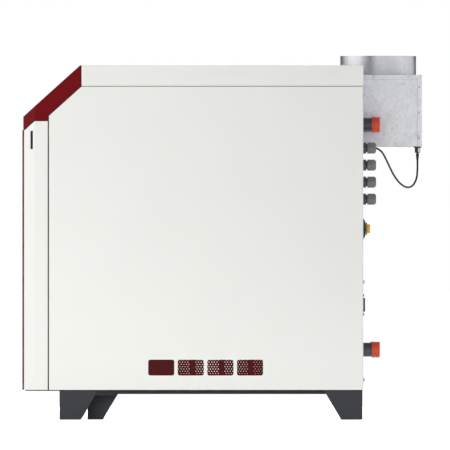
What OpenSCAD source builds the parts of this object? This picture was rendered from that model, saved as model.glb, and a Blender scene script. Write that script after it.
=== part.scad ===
// Floor-standing cast iron gas boiler with a rear draught diverter.
// Millimetres, Z up, front towards -Y, origin on the floor under the middle of the outline.

/* [Casing] */
// Width of the casing
casing_w = 600; // [560:5:700]
// Depth from the front panel to the rear panel
casing_d = 818; // [790:2:880]
// Height of the casing top above the floor
casing_h = 850; // [835:1:900]
// Height of the casing underside above the floor
plinth_h = 71.5; // [60:0.5:80]
// Thickness of the painted sheet
sheet = 1.5; // [1:0.1:2]
// Width of the folded edges of the side panels
fold = 18; // [12:1:24]
// Thickness of the rear panel
rear_t = 2; // [1:0.1:3]
// Height of the band that the top cover folds down at the sides
top_band = 49.5; // [40:0.5:60]
// Seam between the top cover and the side panels
top_gap = 1.5; // [0.8:0.1:3]
// Seam between the top cover and the hood
cover_gap = 1.2; // [0.6:0.1:3]
// Height of the hidden tongue that guides the top cover
tongue_h = 15; // [8:1:25]

/* [Front] */
// Thickness of the coloured front panel
front_panel_t = 4; // [2:0.5:6]
// Margin of the front panel inside the door's front face
front_panel_margin = 1.5; // [0.5:0.5:10]
// Seam between the front panel and the hood above it
front_panel_gap = 0.6; // [0.4:0.1:3]
// Depth of the door
door_depth = 57; // [50:1:70]
// Size of the chamfer on the upright front edges
door_chamfer = 26; // [20:1:32]
// Seam between the door and the side panels
door_gap = 3; // [1.5:0.1:5]
// Seam between the door and the hood above it
hood_gap = 2.4; // [1:0.1:4]
// Width of a grip across the chamfer
grip_w = 8.5; // [6:0.5:11]
// Height of a grip
grip_h = 44; // [30:1:70]
// Distance of the middle of a grip below the casing top
grip_drop = 179; // [175:1:250]
// Distance of a grip from the side along the depth
grip_inset = 7.5; // [7:0.5:10]
// Clearance round pushed-in pieces
push_gap = 0.2; // [0.1:0.05:0.4]

/* [Hood] */
// Run of the sloping part over the side panels
hood_run = 77; // [60:1:90]
// How far the nose stands proud of the door face
hood_proud = 1.8; // [0.5:0.1:4]
// Distance of the top of the nose below the casing top
hood_nose_drop = 123; // [115:1:128]
// Distance of the lower edge at the nose below the casing top
hood_lip_drop = 154.5; // [150:0.5:165]
// Distance of the lower edge at the sides below the casing top
hood_side_drop = 131.5; // [130:0.5:136]
// Level strip where the slope meets the top
hood_flat = 2.4; // [1:0.1:5]
// Upright seam between the hood and the slanting edge of the side panels
slope_gap = 2.6; // [1:0.1:4]
// Width of the control fascia
fascia_w = 320; // [240:5:400]
// Length of the control fascia along the slope
fascia_l = 84; // [60:1:100]
// Width of the display
display_w = 96; // [60:1:110]
// Height of the display along the slope
display_l = 52; // [30:1:56]
// Radius of a key on the fascia
key_r = 8; // [5:0.5:11]

/* [Vents] */
// Number of vents in each side
vent_count = 4; // [2:1:5]
// Width of a vent
vent_w = 62.6; // [40:0.2:66]
// Height of a vent
vent_h = 38; // [25:1:45]
// Corner radius of a vent
vent_r = 5; // [2:0.5:8]
// Spacing of the vents
vent_pitch = 71; // [69:0.5:76]
// Distance of the first vent from the front edge of the side panel
vent_start = 238; // [225:1:250]
// Height of the middle of the vents
vent_z = 125; // [118:1:130]
// Thickness of the vent mesh
mesh_t = 1; // [0.6:0.1:2]
// Overlap of the mesh behind the panel
mesh_lap = 10; // [5:1:14]

/* [Base] */
// Thickness of the base tray
tray_t = 2.4; // [1.5:0.1:4]
// Distance of the tray and foot plates inside the casing faces
foot_inset = 3; // [2:0.5:8]
// Thickness of the foot plates
foot_t = 3; // [2:0.5:4]
// Width of a foot on the floor
foot_w = 51; // [40:1:60]
// Lean of the slanting foot edges, sideways over up
foot_lean = 0.59; // [0.4:0.01:0.65]
// Radius of the lower outer corner of a foot
foot_r = 3.6; // [2:0.2:6]
// Width of a foot across the boiler
foot_d = 52; // [45:1:60]
// Distance of the front foot behind the front edge of the side panel
foot_setback = 25.3; // [20:0.1:40]
// Distance from the front foot's front edge to the inner leg
leg_offset = 67; // [63:1:75]
// Width of an inner leg on the floor
leg_w = 36.7; // [30:0.1:42]
// Distance of an inner leg plate inside the foot plate
leg_inset = 69; // [62:1:80]
// Height of the base rails
rail_h = 7.7; // [6:0.1:12]
// Width of the base rails
rail_w = 40; // [30:1:42]

/* [Castings] */
// Distance of the cast iron sections inside the casing sides
section_inset = 55; // [50:1:65]
// Height of the underside of the sections
section_z0 = 150; // [148:1:165]
// Distance of the top of the sections below the casing top
section_drop = 105; // [102:1:110]
// Gap between neighbouring sections
section_gap = 8.3; // [5:0.1:14]
// Number of middle sections
middle_count = 4; // [3:1:5]
// Distance of the castings behind the front edge of the side panels
stack_front = 232.2; // [200:0.1:250]
// Distance of the castings from the rear panel
stack_rear = 95.3; // [90:0.1:110]
// Extra length of the front section
front_extra = 11; // [4:1:20]
// Width of a section foot along the boiler
section_foot = 13.4; // [8:0.2:20]
// Width of the front section's feet along the boiler
front_section_foot = 71; // [30:1:73]
// Radius of the section corners
section_r = 40; // [30:1:50]
// Width of a section leg beside the furnace arch
arch_leg = 95; // [85:1:110]
// Height of the springing of the furnace arch
arch_z = 270; // [230:1:300]
// Radius of the nipple ports
port_r = 34; // [25:1:38]
// Gap between neighbouring ports
port_gap = 0.2; // [0.1:0.05:0.3]
// Radius of the tie rods
tie_r = 6; // [4:0.5:8]
// Clearance round the tie rods
tie_gap = 0.3; // [0.2:0.1:1]
// Radius of a burner tube
burner_r = 14; // [10:0.5:18]
// Distance of the outer burner tubes' share of the furnace from its sides
burner_margin = 6; // [2:1:12]
// Number of burner tubes
burner_count = 6; // [3:1:6]
// Height of the burner tubes
burner_z = 215; // [210:1:225]
// Height of the smoke hood on the castings
smoke_h = 52; // [40:1:60]
// Distance of the smoke duct inside the diverter's sides
duct_inset = 45; // [36:1:60]

/* [Pipes] */
// Outside radius of the flow and return pipes
pipe_r = 16.85; // [13.45:0.05:21.2]
// Wall of the pipes
pipe_wall = 3.2; // [2.6:0.1:4]
// Outside radius of the gas pipe
gas_r = 13.45; // [10.65:0.05:15]
// Distance of the flow and return pipes inside the sides of the castings
pipe_inset = 45; // [38:1:55]
// Distance of the flow pipe below the casing top
flow_drop = 142.6; // [138:0.2:150]
// Height of the return and gas pipes
return_z = 167.4; // [166:0.2:175]
// Length of bare pipe behind the rear panel
pipe_out = 21; // [15:1:40]
// Length of a transport cap
cap_l = 19.5; // [14:0.5:30]
// Wall of a transport cap
cap_wall = 2.1; // [1.2:0.1:3]
// Rim of a transport cap
cap_rim = 0.8; // [0.4:0.1:2]
// Clearance of the pipes in the rear panel
pipe_gap = 1.2; // [0.5:0.1:3]

/* [Diverter] */
// How far the diverter stands out behind the casing
diverter_out = 142; // [130:1:170]
// Depth of the diverter inside the casing
diverter_in = 66; // [60:1:72]
// Width of the diverter as a share of the casing's width
diverter_share = 0.5; // [0.44:0.01:0.53]
// Distance of the diverter's top below the casing top
diverter_drop = 21.7; // [18:0.1:26]
// Height of the diverter
diverter_h = 172.3; // [160:0.1:190]
// Thickness of the galvanised sheet
zinc_t = 1.5; // [1:0.1:2]
// Width of the flanges that lap over the sides
lap = 10.5; // [8:0.5:16]
// Gap at the mitre of the flanges
mitre_gap = 0.5; // [0.2:0.1:1]
// Width of the lip under the rear sheet
lip_w = 18; // [16:1:24]
// Gap between the diverter and the casing notch
notch_gap = 3; // [1.5:0.1:5]
// Outside radius of the flue collar
collar_r = 91.5; // [85:0.5:95]
// Wall of the flue collar
collar_wall = 1; // [0.8:0.1:2]
// Height of the flue collar
collar_h = 46.4; // [35:0.1:70]
// Distance of the flue centre from the diverter's rear
flue_back = 104; // [100:0.5:108]

/* [Rear fittings] */
// Distance of the cable glands and the switch inside the casing side
gland_inset = 38; // [36:1:44]
// Distance of the top cable gland below the casing top
gland_drop = 198.3; // [190:0.1:210]
// Spacing of the cable glands
gland_pitch = 40.9; // [36:0.1:44]
// Number of cable glands
gland_count = 4; // [1:1:4]
// Radius of the gland hexagon over its corners
gland_r = 15.36; // [12:0.02:16]
// Length of the gland body hexagon
gland_body_l = 7; // [5:0.5:10]
// Length of the groove between body and nut
gland_groove = 3; // [2:0.5:5]
// Length of the gland nut
gland_nut_l = 21; // [16:1:26]
// Radius of the gland thread
gland_thread_r = 10; // [8:0.5:11]
// Radius of the cable hole in a gland nut
gland_hole_r = 3.4; // [2.6:0.1:5]
// Depth of the cable hole in a gland nut
gland_hole_l = 3; // [2:0.5:6]
// Clearance of the gland thread in the rear panel
gland_gap = 0.3; // [0.1:0.1:1]
// Distance of the main switch below the casing top
switch_drop = 392; // [380:1:405]
// Width of the switch plate
switch_w = 49; // [40:1:56]
// Thickness of the switch plate
switch_t = 4.8; // [3:0.2:7]
// Run of the sloping edge round the switch plate
switch_chamfer = 6.4; // [2:0.2:8]
// Thickness of the switch plate at its rim
switch_rim = 0.8; // [0.5:0.1:2.5]
// Radius of the spindle
spindle_r = 4; // [3:0.5:6]
// Running clearance round the spindle
spindle_gap = 0.06; // [0.02:0.01:0.1]
// Gap between the knob and its plate
knob_gap = 0.4; // [0.3:0.1:1]
// Radius of the knob disc
knob_r = 16; // [13:0.5:19]
// Thickness of the knob disc
knob_t = 4; // [3:0.2:6]
// Height of the knob grip
knob_grip_h = 7.5; // [5:0.5:10]
// Length of the knob grip
knob_grip_l = 20.6; // [16:0.2:24]
// Width of the knob grip
knob_grip_w = 11; // [9:0.5:14]
// Distance of the middle of the blanking cover below the casing top
cover_drop = 574.6; // [565:0.2:585]
// Height of the blanking cover
cover_h = 33.6; // [25:0.2:40]
// Width of the blanking cover
cover_w = 26; // [20:1:30]
// Thickness of the blanking cover
cover_t = 4.5; // [3:0.5:7]

/* [Spillage sensor] */
// Distance of the sensor inside the diverter's side
sensor_inset = 20; // [16:1:50]
// Width of the sensor's flange along the boiler
sensor_l = 18; // [14:1:18]
// Height of the sensor with its connector
sensor_h = 18; // [14:0.5:24]
// Radius of the sensor's body
sensor_r = 6.5; // [4:0.5:7]
// Length of the cable boot
boot_l = 15; // [10:1:20]
// Radius of the boot at its wide end
boot_r = 4; // [3:0.5:6]
// Diameter of the sensor cable
cable_d = 4.5; // [3:0.1:6]
// Sag of the sensor cable below the line between its ends
cable_sag = 77; // [60:1:100]

/* [Hidden] */
$fn = 64;

white = "#ECEDE8";
red = "#731B1A";
graphite = "#3E3F44";
zinc = "#CBCCD1";
iron = "#4A4744";
black = "#1D1D1F";
grey = "#7D7D7D";
yellow = "#D7A532";
cap_red = "#C83C28";

// How far a cut runs past the surface it opens
cut = 1;

half_w = casing_w / 2;
front_y = -(casing_d + diverter_out) / 2;
back_y = front_y + casing_d;
door_y = front_y + front_panel_t;
chamfer_y = door_y + door_chamfer;
door_back = door_y + door_depth;
side_y0 = door_back + door_gap;
side_y1 = back_y - rear_t;

band_z = casing_h - top_band;
side_top = band_z - top_gap;
hood_nose_z = casing_h - hood_nose_drop;
hood_lip_z = casing_h - hood_lip_drop;
hood_side_z = casing_h - hood_side_drop;
grip_z = casing_h - grip_drop;
hood_y0 = door_y - hood_proud;
hood_back = side_y0 + hood_run;
hood_m = (casing_h - hood_nose_z) / (hood_back - hood_flat - hood_y0);
hood_angle = atan(hood_m);
hood_low_z = band_z - hood_run * hood_m;
hood_foot_z = hood_low_z - door_gap * hood_m;
lip_m = (hood_side_z - hood_lip_z) / door_chamfer;
door_top = hood_side_z - hood_gap;
door_lip = hood_lip_z - hood_gap;

tray_z = plinth_h - tray_t;
rail_z = tray_z - rail_h;
foot_x = half_w - foot_inset;
front_foot_y = side_y0 + foot_setback;
leg_y = front_foot_y + leg_offset;
leg_x = foot_x - leg_inset;

section_hw = half_w - section_inset;
section_w = 2 * section_hw;
section_z1 = casing_h - section_drop;
front_section_face = side_y0 + stack_front;
castings_back = side_y1 - stack_rear;
section_pitch = (castings_back - front_section_face - front_extra + section_gap) / (middle_count + 2);
section_l = section_pitch - section_gap;
rear_section_y = castings_back - section_l / 2;
section_y = rear_section_y - middle_count * section_pitch;
front_section_y = section_y - section_pitch;
arch_r = section_hw - arch_leg;
leg_mid = (section_hw + arch_r) / 2;
burner_pitch = 2 * (arch_r - burner_margin) / burner_count;
pipe_x = section_hw - pipe_inset;
gas_x = (section_hw + half_w - fold) / 2;
flow_z = casing_h - flow_drop;
boss_wall = 9;
boss_l = 9;
boss_r = pipe_r + boss_wall;
boss_y = castings_back + boss_l;

diverter_hw = half_w * diverter_share;
diverter_z1 = casing_h - diverter_drop;
diverter_z0 = diverter_z1 - diverter_h;
diverter_y0 = back_y - diverter_in;
diverter_y1 = back_y + diverter_out;
notch_hw = diverter_hw + zinc_t + notch_gap;
notch_y = diverter_y0 - 2 * notch_gap;
flue_y = diverter_y1 - flue_back;
bore_r = collar_r - collar_wall;
duct_w = diverter_hw - duct_inset;
duct_sill = 6;
duct_z0 = section_z1 + duct_sill;
duct_z1 = section_z1 + smoke_h;

pipe_end = back_y + pipe_out + cap_l - cap_wall;
gland_x = half_w - gland_inset;
gland_z = casing_h - gland_drop;
gland_nut_y = back_y + gland_body_l + gland_groove;
switch_z = casing_h - switch_drop;
knob_y = back_y + switch_t + knob_gap;
knob_cap_t = 2.5;
knob_bore_l = knob_t + knob_grip_h - knob_cap_t;
cover_z = casing_h - cover_drop;
sensor_x = diverter_hw - sensor_inset;
sensor_y = diverter_y1 - zinc_t - lip_w / 2;
sensor_low = diverter_z0 - sensor_h;

// Route of the sensor cable from the top gland down and up to the boot, each point as its share
// of the way across, of the way back and of the sag
cable_shares = [
  [0, 0, 0], [0, 0.05, 0.016], [0.01, 0.115, 0.062], [0.035, 0.175, 0.135],
  [0.08, 0.235, 0.255], [0.135, 0.3, 0.415], [0.2, 0.365, 0.57], [0.275, 0.435, 0.72],
  [0.355, 0.515, 0.85], [0.445, 0.61, 0.955], [0.54, 0.705, 1], [0.635, 0.79, 0.985],
  [0.725, 0.87, 0.91], [0.81, 0.935, 0.77], [0.88, 0.98, 0.59], [0.935, 0.995, 0.4],
  [0.975, 1, 0.23], [0.995, 1, 0.105], [1, 1, 0]
];
cable_from = [gland_x, gland_nut_y + gland_nut_l - gland_hole_l, gland_z];
cable_to = [sensor_x, sensor_y, sensor_low - boot_l];
cable_route = [
  for (s = cable_shares)
    [
      cable_from.x + s[0] * (cable_to.x - cable_from.x),
      cable_from.y + s[1] * (cable_to.y - cable_from.y),
      cable_from.z + s[0] * (cable_to.z - cable_from.z) - s[2] * cable_sag
    ]
];

// Extrudes an outline in Y and Z along X
module across(x0, w) {
  translate([x0, 0, 0]) rotate([90, 0, 90]) linear_extrude(w) children();
}

// Extrudes an outline in X and Z along Y
module along(y0, l) {
  translate([0, y0 + l, 0]) rotate([90, 0, 0]) linear_extrude(l) children();
}

// Round bar along Y
module bar(x, z, r, y0, y1, r2) {
  translate([x, y0, z]) rotate([-90, 0, 0]) cylinder(r1 = r, r2 = is_undef(r2) ? r : r2, h = y1 - y0);
}

// Hexagon bar along Y with a corner towards the side
module hex_bar(x, z, r, y0, y1) {
  translate([x, y0, z]) rotate([-90, 0, 0]) cylinder(r = r, h = y1 - y0, $fn = 6);
}

// Box between two corners
module block(a, b) {
  translate(a) cube(b - a);
}

// Rectangle with round corners, centred
module round_rect(w, h, r) {
  square([w - 2 * r, h], center = true);
  square([w, h - 2 * r], center = true);
  for (sx = [-1, 1], sy = [-1, 1])
    translate([sx * (w / 2 - r), sy * (h / 2 - r)]) circle(r = r);
}

// Keeps the children and adds their mirror image across the middle plane
module both_sides() {
  children();
  mirror([1, 0, 0]) children();
}

// Plan of a front piece with chamfered corners, from its face to y1, drawn in by t
module front_plan(face, y1, t) {
  k = t * (sqrt(2) - 1);
  x_face = half_w - (chamfer_y - face) - k;
  polygon([
    [half_w - t, y1], [half_w - t, chamfer_y + k], [x_face, face + t],
    [-x_face, face + t], [-half_w + t, chamfer_y + k], [-half_w + t, y1]
  ]);
}

module base_tray() {
  color(graphite) translate([0, 0, tray_z]) linear_extrude(tray_t) front_plan(door_y, side_y1, foot_inset);
}

rail_clear = 2;

// Channel that carries the tray, open downwards
module base_rail() {
  x1 = foot_x - foot_t - rail_clear;
  difference() {
    block([x1 - rail_w, front_foot_y, rail_z], [x1, side_y1, tray_z]);
    block([x1 - rail_w + foot_t, front_foot_y - cut, rail_z - cut],
      [x1 - foot_t, side_y1 + cut, tray_z - foot_t]);
  }
}

module base_rails() {
  color(graphite) both_sides() base_rail();
}

// Outline of a foot plate from its upright edge at y = 0
module foot_outline(h) {
  polygon([
    [0, foot_r], [foot_r, foot_r], [foot_r, 0], [foot_w, 0], [foot_w + h * foot_lean, h], [0, h]
  ]);
  translate([foot_r, foot_r]) circle(r = foot_r);
}

// Foot bracket: outer plate, upright web, sole and the shelf under the rail
module foot() {
  x_in = foot_x - foot_d;
  across(foot_x - foot_t, foot_t) foot_outline(tray_z);
  block([x_in, foot_r, 0], [foot_x - foot_t, foot_w - 2 * foot_t, foot_t]);
  block([x_in, foot_r, 0], [foot_x - foot_t, foot_r + foot_t, rail_z]);
  block([x_in, foot_r, rail_z - foot_t], [foot_x - foot_t, leg_offset - foot_t, rail_z]);
}

module front_foot_right() {
  color(graphite) translate([0, front_foot_y, 0]) foot();
}

module front_foot_left() {
  color(graphite) mirror([1, 0, 0]) translate([0, front_foot_y, 0]) foot();
}

module rear_foot_right() {
  color(graphite) translate([0, side_y1, 0]) mirror([0, 1, 0]) foot();
}

module rear_foot_left() {
  color(graphite) mirror([1, 0, 0]) translate([0, side_y1, 0]) mirror([0, 1, 0]) foot();
}

leg_sole = 26;
leg_web = 12;
leg_shelf_gap = 6;
leg_shelf_cut = 8;

// Inner leg: a plate set further in, with a sole and a shelf that carries the rail
module inner_leg() {
  top_w = leg_w + rail_z * foot_lean;
  translate([0, leg_y, 0]) {
    across(leg_x, foot_t) polygon([[0, 0], [leg_w, 0], [top_w, rail_z], [0, rail_z]]);
    block([leg_x, 0, 0], [leg_x + foot_t + leg_sole, leg_w - foot_t, foot_t]);
    block([leg_x, 0, 0], [leg_x + foot_t + leg_web, foot_t, rail_z]);
    block([leg_x, 0, rail_z - foot_t], [foot_x - foot_t - leg_shelf_gap, top_w - leg_shelf_cut, rail_z]);
  }
}

module inner_leg_right() {
  color(graphite) inner_leg();
}

module inner_leg_left() {
  color(graphite) mirror([1, 0, 0]) inner_leg();
}

// Outline of a side panel in Y and Z, drawn in by t
module side_outline(t) {
  slant = t * sqrt(1 + hood_m * hood_m);
  low = hood_low_z - slope_gap;
  y_a = side_y0 + t;
  z_t = side_top - t;
  polygon([
    [y_a, plinth_h + t], [side_y1 - t, plinth_h + t], [side_y1 - t, z_t],
    [side_y0 + (z_t + slant - low) / hood_m, z_t], [y_a, low + t * hood_m - slant]
  ]);
}

module vent_row() {
  for (i = [0 : vent_count - 1])
    translate([side_y0 + vent_start + vent_w / 2 + i * vent_pitch, vent_z])
      round_rect(vent_w, vent_h, vent_r);
}

// Folded side panel with its vents and the tongue behind the top cover's band
module side_panel() {
  difference() {
    across(half_w - fold, fold) side_outline(0);
    across(half_w - fold - cut, fold + cut - sheet) side_outline(sheet);
    across(half_w - sheet - cut, sheet + 2 * cut) vent_row();
  }
  block([half_w - 2 * sheet, hood_back + 2 * fold, side_top - sheet],
    [half_w - sheet, side_y1 - fold, band_z + tongue_h]);
}

module side_panel_right() {
  color(white) side_panel();
}

module side_panel_left() {
  color(white) mirror([1, 0, 0]) side_panel();
}

module vent_mesh() {
  y0 = side_y0 + vent_start - mesh_lap;
  y1 = side_y0 + vent_start + (vent_count - 1) * vent_pitch + vent_w + mesh_lap;
  z_r = vent_h / 2 + mesh_lap;
  block([half_w - sheet - mesh_t, y0, vent_z - z_r], [half_w - sheet, y1, vent_z + z_r]);
}

module vent_meshes() {
  color(red) both_sides() vent_mesh();
}

module rear_panel() {
  color(zinc) difference() {
    block([-half_w, side_y1, plinth_h], [half_w, back_y, side_top]);
    block([-notch_hw, side_y1 - cut, diverter_z0], [notch_hw, back_y + cut, side_top + cut]);
    bar(pipe_x, flow_z, pipe_r + pipe_gap, side_y1 - cut, back_y + cut);
    bar(pipe_x, return_z, pipe_r + pipe_gap, side_y1 - cut, back_y + cut);
    bar(-gas_x, return_z, gas_r + pipe_gap, side_y1 - cut, back_y + cut);
    for (i = [0 : gland_count - 1])
      bar(gland_x, gland_z - i * gland_pitch, gland_thread_r + gland_gap, side_y1 - cut, back_y + cut);
  }
}

frame_open_side = 20;
frame_open_h = 110;
frame_open_r = 12;

// Upright sheet behind the door that carries the hood
module front_frame() {
  hw = half_w - sheet - foot_inset;
  color(graphite) difference() {
    block([-hw, side_y0 + sheet, plinth_h + sheet], [hw, side_y0 + 2 * sheet, hood_side_z]);
    along(side_y0, 3 * sheet) translate([0, burner_z])
      round_rect(2 * (arch_r + frame_open_side), frame_open_h, frame_open_r);
  }
}

notch_flange = 22;

// Folded cover with a notch for the diverter, edged by turned-down flanges
module top_cover() {
  edge_z = casing_h - notch_flange;
  color(white) {
    difference() {
      block([-half_w, hood_back + cover_gap, band_z], [half_w, back_y, casing_h]);
      block([-half_w + sheet, hood_back - cut, band_z - cut],
        [half_w - sheet, back_y - sheet, casing_h - sheet]);
      block([-notch_hw, notch_y, band_z - cut], [notch_hw, back_y + cut, casing_h + cut]);
    }
    difference() {
      block([-notch_hw - sheet, notch_y - sheet, edge_z],
        [notch_hw + sheet, back_y - sheet, casing_h - sheet]);
      block([-notch_hw, notch_y, edge_z - cut], [notch_hw, back_y, casing_h]);
    }
  }
}

hood_profile = [
  [hood_back, casing_h], [hood_back - hood_flat, casing_h], [hood_y0, hood_nose_z], [hood_y0, hood_lip_z],
  [door_y, hood_lip_z], [chamfer_y, hood_side_z], [door_back, hood_side_z], [door_back, hood_foot_z],
  [hood_back, band_z]
];

// Inside of the hood, one sheet in from its faces and open to the rear
function hood_inside(t) =
  let (top_k = t * sqrt(1 + hood_m * hood_m), lip_k = t * sqrt(1 + lip_m * lip_m), y_a = hood_y0 + t)
  [
    [hood_back + cut, casing_h - t],
    [hood_y0 + (casing_h - t + top_k - hood_nose_z) / hood_m, casing_h - t],
    [y_a, hood_nose_z + t * hood_m - top_k],
    [y_a, hood_lip_z + (y_a - door_y) * lip_m + lip_k],
    [chamfer_y + (t - lip_k) / lip_m, hood_side_z + t],
    [hood_back + cut, hood_side_z + t]
  ];

// Puts the children on the slope, with y up the slope and z out of it
module on_slope() {
  y_m = (hood_y0 + hood_back - hood_flat) / 2;
  translate([0, y_m, hood_nose_z + (y_m - hood_y0) * hood_m]) rotate([hood_angle, 0, 0]) children();
}

shelf_clear = 3;

// Sloping control hood, folded from sheet, with the opening for the fascia
module control_hood() {
  z_top = casing_h + cut;
  shelf_hw = half_w - fold - shelf_clear;
  color(red) {
    difference() {
      intersection() {
        across(-half_w, casing_w) polygon(hood_profile);
        translate([0, 0, hood_lip_z - cut]) linear_extrude(z_top - hood_lip_z + cut)
          front_plan(hood_y0, hood_back, 0);
      }
      intersection() {
        across(-half_w, casing_w) polygon(hood_inside(sheet));
        translate([0, 0, hood_lip_z]) linear_extrude(z_top - hood_lip_z)
          front_plan(hood_y0, hood_back + cut, sheet);
      }
      on_slope() block([-fascia_w / 2, -fascia_l / 2, -2 * sheet], [fascia_w / 2, fascia_l / 2, cut]);
    }
    block([-shelf_hw, door_back - sheet, hood_side_z], [shelf_hw, side_y0 + 5 * sheet, hood_side_z + sheet]);
  }
}

fascia_sink = 0.5;
fascia_lip = 6;
fascia_t = 2;
display_x = -fascia_w / 4;
display_sink = 1;

module control_fascia() {
  fw = fascia_w / 2 - push_gap;
  fl = fascia_l / 2 - push_gap;
  color(black) on_slope() {
    difference() {
      union() {
        block([-fw, -fl, -sheet], [fw, fl, -fascia_sink]);
        block([-fw - fascia_lip, -fl - fascia_lip, -sheet - fascia_t],
          [fw + fascia_lip, fl + fascia_lip, -sheet]);
      }
      translate([display_x, 0, -fascia_sink - display_sink])
        block([-display_w / 2, -display_l / 2, 0], [display_w / 2, display_l / 2, cut + display_sink]);
    }
    for (i = [0 : 2])
      translate([fascia_w / 8 + i * 3.2 * key_r, 0, -sheet]) cylinder(r = key_r, h = sheet);
  }
}

module display_window() {
  dw = display_w / 2 - push_gap;
  dl = display_l / 2 - push_gap;
  color("#23282B") on_slope() translate([display_x, 0, -fascia_sink - display_sink])
    block([-dw, -dl, 0], [dw, dl, display_sink]);
}

// Door outline in Y and Z, drawn in by t and open to the rear when y1 lies past its edge
module door_outline(t, y1) {
  k = t * sqrt(1 + lip_m * lip_m);
  polygon([
    [y1, plinth_h + t], [y1, door_top - t], [chamfer_y + (k - t) / lip_m, door_top - t],
    [door_y + t, door_lip + t * lip_m - k], [door_y + t, plinth_h + t]
  ]);
}

// Puts the children on the right chamfer, with x along it and y into the door
module on_chamfer() {
  translate([half_w - grip_inset, chamfer_y - grip_inset, grip_z]) rotate([0, 0, 45]) children();
}

module grip_cut() {
  on_chamfer() block([-grip_w / 2, -cut, -grip_h / 2], [grip_w / 2, 3 * sheet, grip_h / 2]);
}

// Folded pan door with chamfered upright edges
module front_door() {
  color(white) difference() {
    intersection() {
      across(-half_w, casing_w) door_outline(0, door_back);
      translate([0, 0, plinth_h]) linear_extrude(door_top - plinth_h) front_plan(door_y, door_back, 0);
    }
    intersection() {
      across(-half_w, casing_w) door_outline(sheet, door_back + cut);
      translate([0, 0, plinth_h]) linear_extrude(door_top - plinth_h)
        front_plan(door_y, door_back + cut, sheet);
    }
    both_sides() grip_cut();
  }
}

front_panel_r = 2;

module front_panel() {
  hw = half_w - door_chamfer - front_panel_margin;
  h = hood_lip_z - front_panel_gap - plinth_h;
  color(red) along(front_y, front_panel_t) translate([0, plinth_h + h / 2])
    round_rect(2 * hw, h, front_panel_r);
}

grip_rim = 1.4;
grip_flange = 1.5;

// Recessed grip, pushed through the chamfer and backed by its rim
module door_grip() {
  w = grip_w / 2 - push_gap;
  h = grip_h / 2 - push_gap;
  on_chamfer() difference() {
    union() {
      block([-w, 0, -h], [w, sheet, h]);
      block([-w - grip_flange, sheet, -h - 2 * grip_flange],
        [w + grip_flange, 3 * sheet, h + 2 * grip_flange]);
    }
    block([-w + grip_rim, -cut, -h + grip_rim], [w - grip_rim, 2 * sheet, h - grip_rim]);
  }
}

module door_grips() {
  color(black) both_sides() door_grip();
}

// Section outline in X and Z; the furnace arch is cut out where arch is true
module section_outline(arch) {
  difference() {
    translate([0, (section_z0 + section_z1) / 2])
      round_rect(section_w, section_z1 - section_z0, section_r);
    if (arch) {
      translate([-arch_r, section_z0 - cut]) square([2 * arch_r, arch_z - section_z0 + cut]);
      translate([0, arch_z]) circle(r = arch_r);
    }
  }
}

// Places of the tie rods, as X and Z
tie_inset = 14;
tie_places = [
  for (sx = [-1, 1], z = [arch_z, section_z1 - 2.4 * section_r]) [sx * (section_hw - tie_inset), z]
];

module tie_holes() {
  for (p = tie_places)
    bar(p[0], p[1], tie_r + tie_gap, front_section_face - cut, castings_back + cut);
}

// Ports that join the sections, from y0 to y1
module ports(y0, y1) {
  bar(0, section_z1 - 1.7 * port_r, port_r, y0, y1);
  for (sx = [-1, 1]) bar(sx * leg_mid, section_z0 + 1.5 * port_r, port_r, y0, y1);
}

pad_hw = 22;

// Feet under the two legs of a section
module section_feet(y0, y1) {
  for (sx = [-1, 1])
    block([sx * leg_mid - pad_hw, y0, plinth_h], [sx * leg_mid + pad_hw, y1, section_z0 + section_r]);
}

port_h = (section_pitch - port_gap) / 2;

module front_section() {
  y1 = front_section_y + section_l / 2;
  foot_y1 = front_section_face + front_section_foot;
  color(iron) difference() {
    union() {
      along(front_section_face, y1 - front_section_face) section_outline(true);
      ports(front_section_y, front_section_y + port_h);
      section_feet(front_section_face, foot_y1);
    }
    tie_holes();
  }
}

module middle_sections() {
  color(iron) for (i = [0 : middle_count - 1]) {
    y = section_y + i * section_pitch;
    difference() {
      union() {
        along(y - section_l / 2, section_l) section_outline(true);
        ports(y - port_h, y + port_h);
        section_feet(y - section_foot / 2, y + section_foot / 2);
      }
      tie_holes();
    }
  }
}

module rear_section() {
  y0 = rear_section_y - section_l / 2;
  color(iron) difference() {
    union() {
      along(y0, section_l) section_outline(false);
      ports(rear_section_y - port_h, rear_section_y);
      section_feet(rear_section_y - section_foot, rear_section_y + section_foot);
      for (z = [flow_z, return_z]) bar(pipe_x, z, boss_r, rear_section_y, boss_y);
    }
    tie_holes();
  }
}

module tie_rods() {
  nut_l = 1.6 * tie_r;
  color(zinc) for (p = tie_places) {
    bar(p[0], p[1], tie_r, front_section_face - nut_l, castings_back + nut_l);
    hex_bar(p[0], p[1], 1.9 * tie_r, front_section_face - nut_l, front_section_face);
    hex_bar(p[0], p[1], 1.9 * tie_r, castings_back, castings_back + nut_l);
  }
}

burner_out = 46;
burner_wall = 2;
burner_plate_t = 3;
burner_plate_lap = 15;
burner_plate_h = 90;
burner_y0 = front_section_face - burner_out;
nozzle_l = 14;
nozzle_root = 2;
nozzle_in = 4;
nozzle_gap = 0.3;
nozzle_r = burner_r - burner_wall - nozzle_gap;
manifold_y = burner_y0 - nozzle_l - gas_r + nozzle_root;

// Burner tubes from the nozzles to the rear section, with their front plate
module burner_tubes() {
  y_rear = rear_section_y - section_l / 2;
  x0 = -(burner_count - 1) * burner_pitch / 2;
  color(zinc) difference() {
    union() {
      along(front_section_face - burner_plate_t, burner_plate_t) translate([0, burner_z])
        square([2 * (arch_r + burner_plate_lap), burner_plate_h], center = true);
      for (i = [0 : burner_count - 1]) bar(x0 + i * burner_pitch, burner_z, burner_r, burner_y0, y_rear);
    }
    for (i = [0 : burner_count - 1])
      bar(x0 + i * burner_pitch, burner_z, burner_r - burner_wall, burner_y0 - cut, y_rear - burner_wall);
  }
}

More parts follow.
